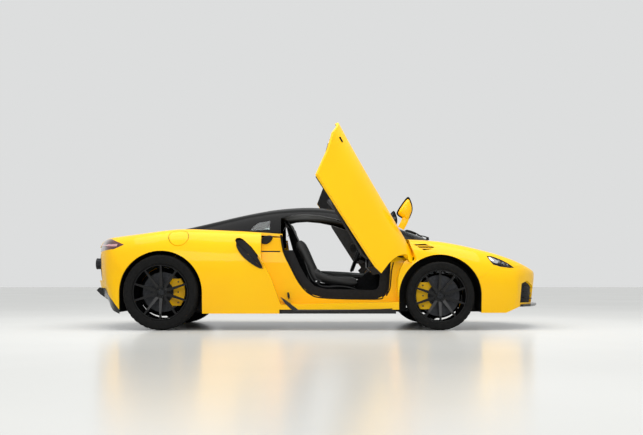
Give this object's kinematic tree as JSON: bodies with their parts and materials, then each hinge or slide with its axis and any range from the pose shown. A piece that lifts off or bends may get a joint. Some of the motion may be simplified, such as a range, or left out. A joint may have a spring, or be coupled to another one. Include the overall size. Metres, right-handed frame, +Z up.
{
  "type": "coupe car",
  "caption": "Low mid-engined two-person sports coupe with upswinging doors held open, black spoked wheels and yellow bodywork.",
  "frame": {"origin": "on the floor, under the middle of the bounding box with the doors open", "axes": "+X to the nose, +Y to the left of the car, +Z up"},
  "size_m": [4.539, 3.153, 1.9334],
  "materials": {
    "paint": "gloss",
    "black_gloss": "gloss",
    "black_plastic": "matte",
    "carbon": "satin",
    "glass": "clear tint",
    "lamp_glass": "clear",
    "rear_lamp_glass": "gloss",
    "rubber_tyre": "matte",
    "rim_black": "gloss",
    "disc_iron": "machined",
    "caliper_paint": "gloss",
    "alloy": "cast",
    "steel": "brushed",
    "interior_trim": "matte",
    "seat_trim": "matte"
  },
  "bodies": {
    "car": {"roof_panel": "black_gloss", "scuttle": "black_plastic", "engine_cover": "black_gloss", "cabin_frame": "black_gloss", "windscreen": "glass", "rear_windows": "glass", "headlamps": "lamp_glass", "rear_lamps": "rear_lamp_glass", "front_bumper": "paint", "front_fenders": "paint", "splitter": "carbon", "rear_clamshell": "paint", "rear_deck_grille": "black_plastic", "intake_meshes": "black_plastic", "diffuser": "carbon", "side_sills": "paint", "door_frames": "paint", "sill_trims": "interior_trim", "arch_liners": "black_plastic", "tub": "carbon", "chassis_rails": "alloy", "luggage_bin": "black_plastic", "powertrain": "alloy", "undertrays": "black_plastic", "door_hinges": "steel", "fuel_filler": "black_plastic", "rear_uprights": "alloy", "rear_calipers": "caliper_paint", "suspension_arms": "steel", "exhaust_tips": "steel", "seats": "seat_trim", "dashboard": "interior_trim", "console": "interior_trim"},
    "door_right": {"door_right": "paint", "door_trim_right": "interior_trim", "mirror_right": "black_gloss"},
    "door_left": {"door_left": "paint", "door_trim_left": "interior_trim", "mirror_left": "black_gloss"},
    "bonnet": {"bonnet": "paint"},
    "fuel_flap": {"fuel_flap": "paint"},
    "steering_wheel": {"steering_wheel": "interior_trim"},
    "knuckle_right": {"knuckle_right": "alloy", "caliper_front_right": "caliper_paint"},
    "knuckle_left": {"knuckle_left": "alloy", "caliper_front_left": "caliper_paint"},
    "wheel_front_right": {"tyre_front_right": "rubber_tyre", "rim_front_right": "rim_black", "disc_front_right": "disc_iron"},
    "wheel_front_left": {"tyre_front_left": "rubber_tyre", "rim_front_left": "rim_black", "disc_front_left": "disc_iron"},
    "wheel_rear_right": {"tyre_rear_right": "rubber_tyre", "rim_rear_right": "rim_black", "disc_rear_right": "disc_iron"},
    "wheel_rear_left": {"tyre_rear_left": "rubber_tyre", "rim_rear_left": "rim_black", "disc_rear_left": "disc_iron"}
  },
  "joints": [
    {"name": "door_right_hinge", "type": "hinge", "parent": "car", "child": "door_right", "pos_m": [0.8145, -0.78, 0.8], "axis": [0.404, -0.734, -0.546], "range_deg": [0, 65.4]},
    {"name": "door_left_hinge", "type": "hinge", "parent": "car", "child": "door_left", "pos_m": [0.8145, 0.78, 0.8], "axis": [-0.404, -0.734, 0.546], "range_deg": [0, 65.4]},
    {"name": "bonnet_hinge", "type": "hinge", "parent": "car", "child": "bonnet", "pos_m": [1.34675, 0, 0.822], "axis": [0, -1, 0], "range_deg": [0, 60]},
    {"name": "fuel_flap_hinge", "type": "hinge", "parent": "car", "child": "fuel_flap", "pos_m": [-1.21075, -0.89027, 0.88827], "axis": [0, 0.7071, 0.7071], "range_deg": [0, 80]},
    {"name": "steering_right", "type": "hinge", "parent": "car", "child": "knuckle_right", "pos_m": [1.1745, -0.765, 0.3235], "axis": [0, 0, 1], "range_deg": [-32, 32]},
    {"name": "steering_left", "type": "hinge", "parent": "car", "child": "knuckle_left", "pos_m": [1.1745, 0.765, 0.3235], "axis": [0, 0, 1], "range_deg": [-32, 32]},
    {"name": "steering_wheel_turn", "type": "hinge", "parent": "car", "child": "steering_wheel", "pos_m": [0.4395, 0.37, 0.735], "axis": [-0.9272, 0, 0.3746], "range_deg": [-450, 450]},
    {"name": "wheel_front_right_spin", "type": "hinge", "parent": "knuckle_right", "child": "wheel_front_right", "pos_m": [1.1745, -0.825, 0.3235], "axis": [0, 1, 0], "continuous": true},
    {"name": "wheel_front_left_spin", "type": "hinge", "parent": "knuckle_left", "child": "wheel_front_left", "pos_m": [1.1745, 0.825, 0.3235], "axis": [0, 1, 0], "continuous": true},
    {"name": "wheel_rear_right_spin", "type": "hinge", "parent": "car", "child": "wheel_rear_right", "pos_m": [-1.4655, -0.8065, 0.357], "axis": [0, 1, 0], "continuous": true},
    {"name": "wheel_rear_left_spin", "type": "hinge", "parent": "car", "child": "wheel_rear_left", "pos_m": [-1.4655, 0.8065, 0.357], "axis": [0, 1, 0], "continuous": true}
  ],
  "couplings": [
    {"joint": "steering_left", "follows": "steering_right", "ratio": 1},
    {"joint": "steering_wheel_turn", "follows": "steering_right", "ratio": 14}
  ]
}
